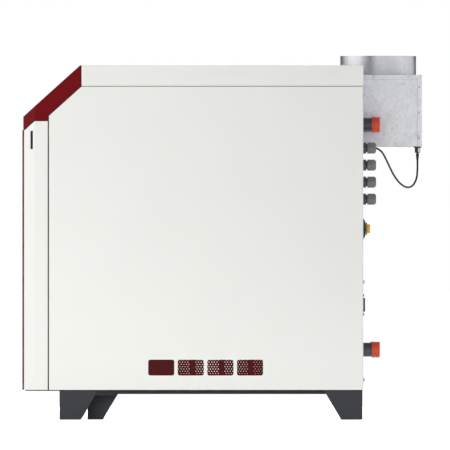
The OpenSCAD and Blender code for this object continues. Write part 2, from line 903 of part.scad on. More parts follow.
valve_hw = 20;
valve_front = 10;
valve_rear = 12;
valve_margin = 6;
valve_x = gas_x - valve_hw;
valve_y0 = manifold_y - gas_r - valve_front;
valve_y1 = manifold_y + gas_r + valve_rear;

// Manifold across the burner tubes with a nozzle in front of each
module gas_manifold() {
  x0 = -(burner_count - 1) * burner_pitch / 2;
  color(black) {
    translate([-valve_x, manifold_y, burner_z]) rotate([0, 90, 0])
      cylinder(r = gas_r, h = valve_x - x0 + burner_r);
    for (i = [0 : burner_count - 1])
      bar(x0 + i * burner_pitch, burner_z, nozzle_r, manifold_y, burner_y0 + nozzle_in);
  }
}

module gas_valve() {
  z0 = return_z - gas_r - valve_margin;
  z1 = burner_z + gas_r + valve_margin;
  color(zinc) block([-gas_x - valve_hw, valve_y0, z0], [-valve_x, valve_y1, z1]);
}

pipe_root = 15;

module gas_pipe() {
  color(black) difference() {
    bar(-gas_x, return_z, gas_r, valve_y1, pipe_end);
    bar(-gas_x, return_z, gas_r - pipe_wall, valve_y1 + pipe_root, pipe_end + cut);
  }
}

// Water pipe from a boss on the rear section to its cap
module water_pipe(z) {
  color(black) difference() {
    bar(pipe_x, z, pipe_r, boss_y, pipe_end);
    bar(pipe_x, z, pipe_r - pipe_wall, boss_y + pipe_root, pipe_end + cut);
  }
}

module flow_pipe() {
  water_pipe(flow_z);
}

module return_pipe() {
  water_pipe(return_z);
}

cap_bevel = 1.5;
cap_rim_l = 4;

// Transport cap pushed over a pipe end of radius r
module pipe_cap(x, z, r) {
  y0 = back_y + pipe_out;
  y1 = y0 + cap_l;
  difference() {
    union() {
      bar(x, z, r + cap_wall, y0, y1 - cap_bevel);
      bar(x, z, r + cap_wall, y1 - cap_bevel, y1, r + cap_wall - cap_bevel);
      bar(x, z, r + cap_wall + cap_rim, y0, y0 + cap_rim_l);
    }
    bar(x, z, r + push_gap, y0 - cut, pipe_end);
  }
}

module pipe_caps() {
  color(cap_red) {
    pipe_cap(pipe_x, flow_z, pipe_r);
    pipe_cap(pipe_x, return_z, pipe_r);
    pipe_cap(-gas_x, return_z, gas_r);
  }
}

smoke_margin = 30;
duct_in = 8;

// Sheet hood over the castings with a duct into the diverter
module smoke_hood() {
  hw = duct_w + smoke_margin;
  y0 = front_section_y;
  y1 = rear_section_y;
  y_end = diverter_y0 + zinc_t + duct_in;
  color(zinc) difference() {
    union() {
      block([-hw, y0, section_z1], [hw, y1, duct_z1]);
      block([-duct_w, y1 - cut, duct_z0], [duct_w, y_end, duct_z1]);
    }
    block([-hw + zinc_t, y0 + zinc_t, section_z1 - cut], [hw - zinc_t, y1 - zinc_t, duct_z1 - zinc_t]);
    block([-duct_w + zinc_t, y1 - 2 * zinc_t, duct_z0 + zinc_t],
      [duct_w - zinc_t, y_end + cut, duct_z1 - zinc_t]);
  }
}

module diverter_side() {
  block([diverter_hw - zinc_t, diverter_y0, diverter_z0],
    [diverter_hw, diverter_y1 - zinc_t, diverter_z1 - zinc_t]);
}

module diverter_sides() {
  color(zinc) both_sides() diverter_side();
}

// Front sheet with the duct opening and the floor inside the casing
module diverter_front() {
  hw = diverter_hw - zinc_t;
  color(zinc) difference() {
    union() {
      block([-hw, diverter_y0, diverter_z0], [hw, diverter_y0 + zinc_t, diverter_z1 - zinc_t]);
      block([-hw, diverter_y0, diverter_z0], [hw, back_y, diverter_z0 + zinc_t]);
    }
    block([-duct_w - push_gap, diverter_y0 - cut, duct_z0 - push_gap],
      [duct_w + push_gap, diverter_y0 + zinc_t + cut, duct_z1 + push_gap]);
  }
}

// Top sheet lapping down over the sides, mitred at the rear
module diverter_top() {
  z_lap = diverter_z1 - lap;
  y1 = diverter_y1 - zinc_t;
  color(zinc) {
    difference() {
      block([-diverter_hw, diverter_y0, diverter_z1 - zinc_t], [diverter_hw, y1, diverter_z1]);
      translate([0, flue_y, diverter_z1 - zinc_t - cut]) cylinder(r = bore_r, h = zinc_t + 2 * cut);
    }
    both_sides() across(diverter_hw, zinc_t) polygon([
      [diverter_y0, diverter_z1], [diverter_y1 - mitre_gap, diverter_z1],
      [diverter_y1 - mitre_gap - lap, z_lap], [diverter_y0, z_lap]
    ]);
  }
}

// Rear sheet lapping forward over the sides, with the lip under it
module diverter_back() {
  y_lap = diverter_y1 - lap;
  hw = diverter_hw - zinc_t;
  color(zinc) {
    block([-diverter_hw, diverter_y1 - zinc_t, diverter_z0], [diverter_hw, diverter_y1, diverter_z1]);
    block([-hw, diverter_y1 - lip_w - zinc_t, diverter_z0], [hw, diverter_y1, diverter_z0 + zinc_t]);
    both_sides() across(diverter_hw, zinc_t) polygon([
      [diverter_y1, diverter_z0], [diverter_y1, diverter_z1 - mitre_gap],
      [y_lap, diverter_z1 - mitre_gap - lap], [y_lap, diverter_z0]
    ]);
  }
}

module flue_collar() {
  color(zinc) translate([0, flue_y, diverter_z1]) difference() {
    cylinder(r = collar_r, h = collar_h);
    translate([0, 0, -cut]) cylinder(r = bore_r, h = collar_h + 2 * cut);
  }
}

gland_shank = 9;

// Threaded body of a cable gland through the rear panel
module gland_body(z) {
  bar(gland_x, z, gland_thread_r, side_y1 - gland_shank, gland_nut_y);
  hex_bar(gland_x, z, gland_r, back_y, back_y + gland_body_l);
}

module gland_bodies() {
  color(grey) for (i = [0 : gland_count - 1]) gland_body(gland_z - i * gland_pitch);
}

// Gland nut: a hexagon with a rounded end and the cable hole
module gland_nut(z) {
  y1 = gland_nut_y + gland_nut_l;
  dome = 0.28 * gland_nut_l;
  difference() {
    intersection() {
      hex_bar(gland_x, z, gland_r, gland_nut_y, y1);
      union() {
        bar(gland_x, z, gland_r + cut, gland_nut_y - cut, y1 - dome);
        bar(gland_x, z, gland_r, y1 - dome, y1, gland_r - dome);
      }
    }
    bar(gland_x, z, gland_hole_r, y1 - gland_hole_l, y1 + cut);
  }
}

module gland_nuts() {
  color(grey) for (i = [0 : gland_count - 1]) gland_nut(gland_z - i * gland_pitch);
}

// Side view of the switch plate with its chamfered edge
module plate_outline() {
  h = switch_w / 2;
  edge_y = back_y + switch_rim;
  polygon([
    [back_y, -h], [back_y, h], [edge_y, h], [back_y + switch_t, h - switch_chamfer],
    [back_y + switch_t, switch_chamfer - h], [edge_y, -h]
  ]);
}

// Square plate with the spindle that the knob turns on
module main_switch_plate() {
  color(black) {
    translate([gland_x, 0, switch_z]) intersection() {
      across(-switch_w / 2, switch_w) plate_outline();
      rotate([0, 90, 0]) across(-switch_w / 2, switch_w) plate_outline();
    }
    bar(gland_x, switch_z, spindle_r, back_y + switch_t - cut, knob_y + knob_bore_l - knob_gap);
  }
}

knob_flare = 2;
knob_grip_r = 3;

// Flared disc with a raised grip across it
module main_switch_knob() {
  color(yellow) difference() {
    union() {
      bar(gland_x, switch_z, knob_r - knob_flare, knob_y, knob_y + knob_t, knob_r);
      along(knob_y + knob_t / 2, knob_t / 2 + knob_grip_h) translate([gland_x, switch_z])
        round_rect(knob_grip_w, knob_grip_l, knob_grip_r);
    }
    bar(gland_x, switch_z, spindle_r + spindle_gap, knob_y - cut, knob_y + knob_bore_l);
  }
}

cover_r = 2;

module blanking_cover() {
  color(black) along(back_y, cover_t) translate([gland_x, cover_z]) round_rect(cover_w, cover_h, cover_r);
}

sensor_flange_hw = 10;
sensor_plug_hw = 6;
sensor_plug_in = 6;
sensor_seat = 1;

// Sensor under the diverter's lip: flange, round body and connector
module spillage_sensor() {
  flange_t = sensor_h / 6;
  body_h = 2 * sensor_h / 3;
  color(black) translate([sensor_x, sensor_y, sensor_low]) {
    block([-sensor_flange_hw, -sensor_l / 2, sensor_h - flange_t],
      [sensor_flange_hw, sensor_l / 2, sensor_h]);
    translate([0, 0, sensor_h - flange_t - body_h]) cylinder(r = sensor_r, h = body_h + flange_t / 2);
    block([-sensor_plug_hw, -sensor_l / 2 + sensor_plug_in, 0],
      [sensor_plug_hw, sensor_l / 2 - sensor_plug_in, sensor_h - flange_t - body_h + sensor_seat]);
  }
}

module sensor_boot() {
  color(black) translate([sensor_x, sensor_y, sensor_low - boot_l])
    cylinder(r1 = cable_d / 2 + push_gap, r2 = boot_r, h = boot_l);
}

function unit(v) = v / norm(v);

// Direction of the route at point i
function heading(p, i) = unit(p[min(i + 1, len(p) - 1)] - p[max(i - 1, 0)]);

// Direction that the cable never runs in, to turn its rings by
cable_turn = [0.9, 0.1, -0.42];
cable_sides = 10;

// Ring of n points round point i of the route; the two ends are square to their seats
function ring(p, i, r, n) =
  let (
    d = i == 0 ? [0, 1, 0] : i == len(p) - 1 ? [0, 0, 1] : heading(p, i),
    u = unit(cross(d, cable_turn)),
    v = cross(d, u)
  )
  [for (k = [0 : n - 1]) p[i] + r * (cos(360 * k / n) * u + sin(360 * k / n) * v)];

// Tube of n sides along a route
module tube(p, r, n) {
  last = len(p) - 1;
  polyhedron(
    points = [for (i = [0 : last]) each ring(p, i, r, n)],
    faces = concat(
      [[for (k = [0 : n - 1]) k]],
      [for (i = [0 : last - 1], k = [0 : n - 1], side = [0, 1])
        let (a = i * n + k, b = i * n + (k + 1) % n)
        side == 0 ? [a, a + n, b + n] : [a, b + n, b]],
      [[for (k = [n - 1 : -1 : 0]) last * n + k]]
    )
  );
}

module sensor_cable() {
  color(black) tube(cable_route, cable_d / 2, cable_sides);
}

base_tray();
base_rails();
front_foot_left();
front_foot_right();
rear_foot_left();
rear_foot_right();
inner_leg_left();
inner_leg_right();
side_panel_left();
side_panel_right();
vent_meshes();
rear_panel();
front_frame();
top_cover();
control_hood();
control_fascia();
display_window();
front_door();
front_panel();
door_grips();
front_section();
middle_sections();
rear_section();
tie_rods();
burner_tubes();
gas_manifold();
gas_valve();
gas_pipe();
flow_pipe();
return_pipe();
pipe_caps();
smoke_hood();
diverter_sides();
diverter_front();
diverter_top();
diverter_back();
flue_collar();
gland_bodies();
gland_nuts();
main_switch_plate();
main_switch_knob();
blanking_cover();
spillage_sensor();
sensor_boot();
sensor_cable();
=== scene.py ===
import math

import bmesh
import bpy
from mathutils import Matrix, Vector


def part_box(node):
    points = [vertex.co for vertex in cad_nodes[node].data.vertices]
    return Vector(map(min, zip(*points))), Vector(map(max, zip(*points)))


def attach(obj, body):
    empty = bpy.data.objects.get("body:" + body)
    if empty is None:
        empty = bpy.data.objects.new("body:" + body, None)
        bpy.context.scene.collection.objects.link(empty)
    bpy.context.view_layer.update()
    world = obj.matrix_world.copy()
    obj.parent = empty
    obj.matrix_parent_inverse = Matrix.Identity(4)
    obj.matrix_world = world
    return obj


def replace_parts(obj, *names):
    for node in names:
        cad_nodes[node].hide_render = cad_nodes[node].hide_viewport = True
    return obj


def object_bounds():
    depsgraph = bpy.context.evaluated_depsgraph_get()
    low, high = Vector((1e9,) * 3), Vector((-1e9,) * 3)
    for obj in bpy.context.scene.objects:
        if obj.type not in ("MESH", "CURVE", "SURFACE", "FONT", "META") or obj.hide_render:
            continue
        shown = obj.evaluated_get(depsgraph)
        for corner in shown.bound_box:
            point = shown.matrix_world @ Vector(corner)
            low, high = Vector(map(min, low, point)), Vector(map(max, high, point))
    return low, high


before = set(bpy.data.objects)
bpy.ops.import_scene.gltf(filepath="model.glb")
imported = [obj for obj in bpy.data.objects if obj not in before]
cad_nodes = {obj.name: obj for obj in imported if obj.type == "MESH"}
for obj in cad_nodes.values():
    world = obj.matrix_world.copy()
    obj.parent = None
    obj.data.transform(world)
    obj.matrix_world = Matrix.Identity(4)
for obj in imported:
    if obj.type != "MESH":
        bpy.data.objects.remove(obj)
cad_low, cad_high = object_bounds()
scene = bpy.context.scene
scene.view_settings.view_transform = "Standard"


# Studio: a white sweep with soft lamps, and a very long lens that looks straight
# at the right side, so that the casing is seen as on an elevation drawing.
PHOTO_WIDTH = 1.08
LENS_MM = 1600
SENSOR_MM = 36
SCALE_PLANE = cad_high.x - 0.03
EYE_Y = 0.0063
EYE_Z = 0.467
VIEW_REACH = 200


def linear(code):
    parts = [int(code[i:i + 2], 16) / 255 for i in (0, 2, 4)]
    return (*[c / 12.92 if c <= 0.04045 else ((c + 0.055) / 1.055) ** 2.4 for c in parts], 1)


def add(tree, kind, links=None, **settings):
    made = tree.nodes.new(kind)
    for name, value in settings.items():
        setattr(made, name, value)
    for socket, value in (links or {}).items():
        if isinstance(value, bpy.types.NodeSocket):
            tree.links.new(value, made.inputs[socket])
        else:
            made.inputs[socket].default_value = value
    return made


def seen_directly(tree):
    path = add(tree, "ShaderNodeLightPath").outputs
    either = add(tree, "ShaderNodeMath", {
        0: path["Is Camera Ray"], 1: path["Is Glossy Ray"]}, operation="MAXIMUM")
    any_of = add(tree, "ShaderNodeMath", {
        0: either.outputs[0], 1: path["Is Transmission Ray"]}, operation="MAXIMUM")
    return any_of.outputs[0]


camera = bpy.data.objects.new("camera", bpy.data.cameras.new("camera"))
scene.collection.objects.link(camera)
camera.data.lens = LENS_MM
camera.data.sensor_width = SENSOR_MM
camera.data.clip_end = VIEW_REACH
camera.location = (SCALE_PLANE + PHOTO_WIDTH * LENS_MM / SENSOR_MM, EYE_Y, EYE_Z)
camera.rotation_euler = (math.pi / 2, 0, math.pi / 2)
scene.camera = camera

# The walls are white and the ceiling is dimmer, more so for its light than for what
# metal shows of it; the camera itself sees pure white
SKY_LIGHT = 0.4
CEILING_LIGHT = 0.04
CEILING_SHOWN = 0.45
HORIZON_Z = 0.05
CEILING_Z = 0.65
world = bpy.data.worlds.new("white_studio")
world.use_nodes = True
sky = world.node_tree
sky.nodes.clear()
ray = add(sky, "ShaderNodeTexCoord").outputs["Generated"]
upward = add(sky, "ShaderNodeSeparateXYZ", {0: ray}).outputs["Z"]
lit = add(sky, "ShaderNodeMapRange", {
    0: upward, 1: HORIZON_Z, 2: CEILING_Z, 3: SKY_LIGHT, 4: CEILING_LIGHT})
mirrored = add(sky, "ShaderNodeMapRange", {
    0: upward, 1: HORIZON_Z, 2: CEILING_Z, 3: 1.0, 4: CEILING_SHOWN})
level = add(sky, "ShaderNodeMix", {
    0: seen_directly(sky), 2: lit.outputs[0], 3: mirrored.outputs[0]})
in_view = add(sky, "ShaderNodeLightPath").outputs["Is Camera Ray"]
strength = add(sky, "ShaderNodeMath", {0: level.outputs[0], 1: in_view}, operation="MAXIMUM")
glow = add(sky, "ShaderNodeBackground", {"Color": (1, 1, 1, 1), "Strength": strength.outputs[0]})
add(sky, "ShaderNodeOutputWorld", {"Surface": glow.outputs[0]})
scene.world = world

FLOOR_HALF = 90
FLOOR_DROP = 0.0005
FLOOR_GLOW = 0.96
floor_mesh = bpy.data.meshes.new("floor")
square = [(-1, -1), (1, -1), (1, 1), (-1, 1)]
floor_corners = [(x * FLOOR_HALF, y * FLOOR_HALF, -FLOOR_DROP) for x, y in square]
floor_mesh.from_pydata(floor_corners, [], [(0, 1, 2, 3)])
floor_paint = bpy.data.materials.new("pale_floor")
floor_paint.use_nodes = True
floor_tree = floor_paint.node_tree
floor_tree.nodes.clear()
pale = add(floor_tree, "ShaderNodeBsdfDiffuse", {"Color": linear("E6E6E6")})
shown = add(floor_tree, "ShaderNodeMapRange", {0: seen_directly(floor_tree), 3: 0.0, 4: FLOOR_GLOW})
lift = add(floor_tree, "ShaderNodeEmission", {"Color": (1, 1, 1, 1), "Strength": shown.outputs[0]})
both = add(floor_tree, "ShaderNodeAddShader", {0: pale.outputs[0], 1: lift.outputs[0]})
add(floor_tree, "ShaderNodeOutputMaterial", {"Surface": both.outputs[0]})
floor_mesh.materials.append(floor_paint)
floor = bpy.data.objects.new("floor", floor_mesh)
scene.collection.objects.link(floor)

# Lamp: place, width and height in metres, power in watts, and whether bright metal
# shows it; each looks at the middle of the casing
LAMPS = {
    "side_softbox": ((3.1, -1.05, 0.15), (1.8, 1.8), 81, False),
    "front_softbox": ((0.9, -4.4, 1.0), (4.8, 4.8), 86, True),
    "rear_softbox": ((1.4, 4.2, 1.2), (2.6, 2.6), 60, False),
    "top_softbox": ((-1.6, -0.8, 3.4), (3.0, 3.0), 55, False),
    "left_softbox": ((-3.1, -0.6, 0.5), (1.8, 1.8), 36, False),
    "floor_strip": ((0.6, 0.1, 0.04), (2.2, 0.06), 0.6, False),
}
LAMP_AIM = Vector((0, 0, 0.4))
for lamp_name, (place, (width, height), watts, in_metal) in LAMPS.items():
    lamp = bpy.data.objects.new(lamp_name, bpy.data.lights.new(lamp_name, "AREA"))
    scene.collection.objects.link(lamp)
    lamp.data.shape = "RECTANGLE"
    lamp.data.size = width
    lamp.data.size_y = height
    lamp.data.energy = watts
    lamp.location = place
    lamp.rotation_euler = (LAMP_AIM - Vector(place)).to_track_quat("-Z", "Y").to_euler()
    lamp.visible_camera = False
    lamp.visible_glossy = in_metal

# Black flags that only reflections see, which give rolled metal its dark edges:
# bearing from the right side towards the rear in degrees, and width in metres
FLAGS = {"front_flag": (-21, 1.7), "left_flag": (155, 4.6), "right_flag": (-155, 4.6)}
FLAG_DISTANCE = 5.0
FLAG_HEIGHT = 3.0
flag_cloth = bpy.data.materials.new("black_flag_cloth")
flag_cloth.use_nodes = True
flag_cloth.node_tree.nodes["Principled BSDF"].inputs["Base Color"].default_value = linear("0A0A0A")
for flag_name, (bearing, width) in FLAGS.items():
    a = math.radians(bearing)
    middle = Vector((math.cos(a), math.sin(a), 0)) * FLAG_DISTANCE
    half = Vector((-math.sin(a), math.cos(a), 0)) * width / 2
    rise = Vector((0, 0, FLAG_HEIGHT))
    flag_mesh = bpy.data.meshes.new(flag_name)
    flag_corners = [middle - half, middle + half, middle + half + rise, middle - half + rise]
    flag_mesh.from_pydata(flag_corners, [], [(0, 1, 2, 3)])
    flag_mesh.materials.append(flag_cloth)
    flag = bpy.data.objects.new(flag_name, flag_mesh)
    scene.collection.objects.link(flag)
    flag.visible_camera = False
    flag.visible_diffuse = False
    flag.visible_transmission = False
    flag.visible_shadow = False


# Sensor cable: a thin two-core lead in black rubber, clamped in the top gland.
# It hangs in one free loop and goes up into the boot under the spillage sensor.
CABLE_D = 0.0045
CABLE_ROUTE = [
    (0.262, 0.366, 0.6517), (0.262, 0.3712, 0.6505), (0.2607, 0.3779, 0.6466),
    (0.2574, 0.3841, 0.6403), (0.2514, 0.3903, 0.6298), (0.2442, 0.3971, 0.6159),
    (0.2356, 0.4038, 0.6021), (0.2257, 0.411, 0.5884), (0.2151, 0.4193, 0.5761),
    (0.2033, 0.4291, 0.5654), (0.1907, 0.439, 0.5592), (0.1782, 0.4478, 0.5576),
    (0.1663, 0.456, 0.5608), (0.1551, 0.4628, 0.5692), (0.1458, 0.4674, 0.581),
    (0.1386, 0.469, 0.5941), (0.1333, 0.4695, 0.606), (0.1307, 0.4695, 0.6151),
    (0.13, 0.4695, 0.623),
]


def new_finish(name):
    made = bpy.data.materials.new(name)
    made.use_nodes = True
    made.node_tree.nodes.clear()
    return made, made.node_tree


def piece(name, mesh, body="boiler", finish=None):
    made = bpy.data.objects.new(name, mesh)
    scene.collection.objects.link(made)
    if finish:
        mesh.materials.clear()
        mesh.materials.append(finish)
    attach(made, body)
    return made


# Extruded rubber: soft black with a dull sheen and a faint grain of 0.6 mm
def extruded_rubber(name, code):
    grain_size = 0.0006
    dust_size = 0.03
    made, tree = new_finish(name)
    where = add(tree, "ShaderNodeTexCoord").outputs["Object"]
    grain = add(tree, "ShaderNodeTexNoise", {"Vector": where, "Scale": 1 / grain_size, "Detail": 3.0})
    dust = add(tree, "ShaderNodeTexNoise", {"Vector": where, "Scale": 1 / dust_size, "Detail": 4.0})
    worn = add(tree, "ShaderNodeMapRange", {0: dust.outputs[0], 3: 0.5, 4: 0.7})
    relief = add(tree, "ShaderNodeBump", {
        "Height": grain.outputs[0], "Strength": 0.25, "Distance": 0.0001})
    skin = add(tree, "ShaderNodeBsdfPrincipled", {
        "Base Color": linear(code), "Roughness": worn.outputs[0], "IOR": 1.52,
        "Specular IOR Level": 0.3, "Normal": relief.outputs[0]})
    add(tree, "ShaderNodeOutputMaterial", {"Surface": skin.outputs[0]})
    return made


black_rubber = extruded_rubber("black_cable_rubber", "1C1C1D")
cable_line = bpy.data.curves.new("sensor_cable_run", "CURVE")
cable_line.dimensions = "3D"
cable_line.bevel_depth = CABLE_D / 2
cable_line.bevel_resolution = 4
cable_line.resolution_u = 8
cable_line.use_fill_caps = True
run = cable_line.splines.new("BEZIER")
run.bezier_points.add(len(CABLE_ROUTE) - 1)
for knot, spot in zip(run.bezier_points, CABLE_ROUTE):
    knot.co = spot
    knot.handle_left_type = "AUTO"
    knot.handle_right_type = "AUTO"
cable_line.materials.append(black_rubber)
cable = bpy.data.objects.new("sensor_cable_run", cable_line)
scene.collection.objects.link(cable)
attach(cable, "boiler")
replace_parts(cable, "sensor_cable")


# Base: a pressed tray on two rails, four bracket feet and two inner legs, all of
# folded steel in a dark structured powder coat; the tray, the rails and the front frame
# get a darker copy of it, painted shade for where the casing shades them.
MERGE_DISTANCE = 1e-6
FLAT_ANGLE = math.radians(0.5)
FOLD_ANGLE = math.radians(28)


def softened(node, radius, finish, body="boiler", segments=2):
    # a merged copy of the CAD solid with its folds and cut edges rounded
    work = bmesh.new()
    work.from_mesh(cad_nodes[node].data)
    bmesh.ops.remove_doubles(work, verts=work.verts, dist=MERGE_DISTANCE)
    bmesh.ops.dissolve_limit(work, angle_limit=FLAT_ANGLE, verts=work.verts, edges=work.edges)
    for face in work.faces:
        face.smooth = True
    mesh = bpy.data.meshes.new(node + "_rounded")
    work.to_mesh(mesh)
    work.free()
    rough = bpy.data.objects.new(node + "_rounded", mesh)
    scene.collection.objects.link(rough)
    edge = rough.modifiers.new("edge", "BEVEL")
    edge.width = radius
    edge.segments = segments
    edge.limit_method = "ANGLE"
    edge.angle_limit = FOLD_ANGLE
    edge.harden_normals = False
    flat = rough.modifiers.new("flat", "WEIGHTED_NORMAL")
    flat.weight = 100
    flat.keep_sharp = True
    graph = bpy.context.evaluated_depsgraph_get()
    done = bpy.data.meshes.new_from_object(rough.evaluated_get(graph))
    bpy.data.objects.remove(rough)
    done.name = node + "_rounded"
    made = piece(node + "_rounded", done, body, finish)
    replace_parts(made, node)
    return made


# Powder coat: baked paint on sheet steel, a satin skin with orange peel of a few
# millimetres and a hardly visible drift in tone across a panel
def powder_coat(name, code, shade_code, peel_mm, relief_mm, roughness, gleam=0.5):
    drift_size = 0.18
    spread = 0.06
    made, tree = new_finish(name)
    where = add(tree, "ShaderNodeTexCoord").outputs["Object"]
    drift = add(tree, "ShaderNodeTexNoise", {"Vector": where, "Scale": 1 / drift_size, "Detail": 3.0})
    tone = add(tree, "ShaderNodeMix", {
        0: drift.outputs[0], 6: linear(shade_code), 7: linear(code)}, data_type="RGBA")
    peel = add(tree, "ShaderNodeTexNoise", {
        "Vector": where, "Scale": 1000 / peel_mm, "Detail": 2.0})
    relief = add(tree, "ShaderNodeBump", {
        "Height": peel.outputs[0], "Strength": 0.5, "Distance": relief_mm / 1000})
    gloss = add(tree, "ShaderNodeMapRange", {
        0: peel.outputs[0], 3: roughness - spread, 4: roughness + spread})
    skin = add(tree, "ShaderNodeBsdfPrincipled", {
        "Base Color": tone.outputs[2], "Roughness": gloss.outputs[0], "IOR": 1.5,
        "Specular IOR Level": gleam, "Normal": relief.outputs[0]})
    add(tree, "ShaderNodeOutputMaterial", {"Surface": skin.outputs[0]})
    return made


def dress(finish, *nodes):
    for node in nodes:
        for place in cad_nodes[node].material_slots:
            place.material = finish


graphite_coat = powder_coat("graphite_structure_coat", "3F4045", "36373C", 0.9, 0.12, 0.6, 0.2)
# A darker copy of the graphite coat: painted shade for the tray, rails and front frame, which lie in
# the casing's shadow
graphite_painted_shade = powder_coat("graphite_coat_painted_shade", "303135", "292A2E", 0.9, 0.12, 0.6, 0.2)
dress(graphite_painted_shade, "base_tray", "base_rails", "front_frame")
for foot in ("front_foot_left", "front_foot_right", "rear_foot_left", "rear_foot_right",
             "inner_leg_left", "inner_leg_right"):
    softened(foot, 0.0007, graphite_coat)


# Boiler block: sand-cast iron sections, drawn together by plated tie rods, with the
# tube burners in the furnace and the smoke hood of thin sheet on top.
# Cast iron: dark, granular from the sand mould, with brown traces of rust
def cast_iron(name):
    sand_size = 0.0018
    rust_size = 0.05
    made, tree = new_finish(name)
    where = add(tree, "ShaderNodeTexCoord").outputs["Object"]
    sand = add(tree, "ShaderNodeTexNoise", {"Vector": where, "Scale": 1 / sand_size, "Detail": 6.0})
    rust = add(tree, "ShaderNodeTexNoise", {"Vector": where, "Scale": 1 / rust_size, "Detail": 6.0})
    patch = add(tree, "ShaderNodeMapRange", {0: rust.outputs[0], 1: 0.5, 2: 0.75})
    tone = add(tree, "ShaderNodeMix", {
        0: patch.outputs[0], 6: linear("2C2928"), 7: linear("3B2A22")}, data_type="RGBA")
    relief = add(tree, "ShaderNodeBump", {
        "Height": sand.outputs[0], "Strength": 0.6, "Distance": 0.0006})
    skin = add(tree, "ShaderNodeBsdfPrincipled", {
        "Base Color": tone.outputs[2], "Roughness": 0.78, "Metallic": 0.35,
        "Normal": relief.outputs[0]})
    add(tree, "ShaderNodeOutputMaterial", {"Surface": skin.outputs[0]})
    return made


# Plated metal: fasteners and die castings with a soft, slightly cloudy sheen and
# painted shade that darkens their recesses and the ring where a head meets the sheet
def plated_metal(name, code, shade_code, roughness):
    cloud_size = 0.006
    recess_shade_reach = 0.0025
    spread = 0.1
    made, tree = new_finish(name)
    where = add(tree, "ShaderNodeTexCoord").outputs["Object"]
    cloud = add(tree, "ShaderNodeTexNoise", {"Vector": where, "Scale": 1 / cloud_size, "Detail": 4.0})
    tone = add(tree, "ShaderNodeMix", {
        0: cloud.outputs[0], 6: linear(shade_code), 7: linear(code)}, data_type="RGBA")
    dull = add(tree, "ShaderNodeMapRange", {
        0: cloud.outputs[0], 3: roughness - spread, 4: roughness + spread})
    relief = add(tree, "ShaderNodeBump", {
        "Height": cloud.outputs[0], "Strength": 0.15, "Distance": 0.0002})
    # Painted shade: the colour goes dark where ambient occlusion finds recesses and contact rings
    corner = add(tree, "ShaderNodeAmbientOcclusion", {"Distance": recess_shade_reach})
    shade_mask = add(tree, "ShaderNodeMapRange", {0: corner.outputs["AO"], 1: 0.35, 2: 0.85})
    shaded_tone = add(tree, "ShaderNodeMix", {
        0: shade_mask.outputs[0], 6: linear("1F1F20"), 7: tone.outputs[2]}, data_type="RGBA")
    skin = add(tree, "ShaderNodeBsdfPrincipled", {
        "Base Color": shaded_tone.outputs[2], "Roughness": dull.outputs[0], "Metallic": 1.0,
        "Normal": relief.outputs[0]})
    add(tree, "ShaderNodeOutputMaterial", {"Surface": skin.outputs[0]})
    return made


sand_cast_iron = cast_iron("sand_cast_iron")
zinc_plate = plated_metal("zinc_plate", "C9CACC", "A9ABAF", 0.34)
die_cast = plated_metal("die_cast_alloy", "B9BBBE", "96999D", 0.5)
dress(sand_cast_iron, "front_section", "middle_sections", "rear_section")
dress(zinc_plate, "tie_rods", "burner_tubes")
dress(die_cast, "gas_valve")


# Pipes: black steel tube for flow, return and gas, each closed by a soft red
# transport cap that is pushed over its end.
# Black steel: mill scale, nearly black, with a greasy sheen in streaks of about 4 mm
# that are drawn out to 25 mm along the tube
def black_steel(name):
    streaks_per_metre = (260, 40, 260)
    made, tree = new_finish(name)
    where = add(tree, "ShaderNodeTexCoord").outputs["Object"]
    drawn = add(tree, "ShaderNodeMapping", {"Vector": where, "Scale": streaks_per_metre})
    scale = add(tree, "ShaderNodeTexNoise", {
        "Vector": drawn.outputs[0], "Scale": 1.0, "Detail": 5.0})
    tone = add(tree, "ShaderNodeMix", {
        0: scale.outputs[0], 6: linear("404142"), 7: linear("5A5A5C")}, data_type="RGBA")
    sheen = add(tree, "ShaderNodeMapRange", {0: scale.outputs[0], 3: 0.3, 4: 0.46})
    relief = add(tree, "ShaderNodeBump", {
        "Height": scale.outputs[0], "Strength": 0.2, "Distance": 0.0002})
    skin = add(tree, "ShaderNodeBsdfPrincipled", {
        "Base Color": tone.outputs[2], "Roughness": sheen.outputs[0], "Metallic": 0.5,
        "Normal": relief.outputs[0]})
    add(tree, "ShaderNodeOutputMaterial", {"Surface": skin.outputs[0]})
    return made


# Moulded plastic: even colour, a spark-eroded grain of about half a millimetre and
# painted shade in the corners
def moulded_plastic(name, code, shade_code, roughness, grain_mm, glow=0.0, gleam=0.5):
    flow_size = 0.012
    painted_shade_reach = 0.005
    light_reach = 0.002
    spread = 0.05
    made, tree = new_finish(name)
    where = add(tree, "ShaderNodeTexCoord").outputs["Object"]
    flow = add(tree, "ShaderNodeTexNoise", {"Vector": where, "Scale": 1 / flow_size, "Detail": 3.0})
    tone = add(tree, "ShaderNodeMix", {
        0: flow.outputs[0], 6: linear(shade_code), 7: linear(code)}, data_type="RGBA")
    grain = add(tree, "ShaderNodeTexNoise", {
        "Vector": where, "Scale": 1000 / grain_mm, "Detail": 2.0})
    relief = add(tree, "ShaderNodeBump", {
        "Height": grain.outputs[0], "Strength": 0.25, "Distance": 0.0001})
    worn = add(tree, "ShaderNodeMapRange", {
        0: flow.outputs[0], 3: roughness - spread, 4: roughness + spread})
    # Painted shade: darker towards corners and recesses, as found by ambient occlusion
    corner = add(tree, "ShaderNodeAmbientOcclusion", {"Distance": painted_shade_reach})
    shade_mask = add(tree, "ShaderNodeMapRange", {
        0: corner.outputs["AO"], 1: 0.4, 2: 0.95, 3: 0.3, 4: 1.0})
    shaded_tone = add(tree, "ShaderNodeMix", {
        0: shade_mask.outputs[0], 6: linear("1D1B19"), 7: tone.outputs[2]}, data_type="RGBA")
    skin = add(tree, "ShaderNodeBsdfPrincipled", {
        "Base Color": shaded_tone.outputs[2], "Roughness": worn.outputs[0], "IOR": 1.5,
        "Specular IOR Level": gleam, "Subsurface Weight": glow, "Subsurface Scale": light_reach,
        "Normal": relief.outputs[0]})
    add(tree, "ShaderNodeOutputMaterial", {"Surface": skin.outputs[0]})
    return made


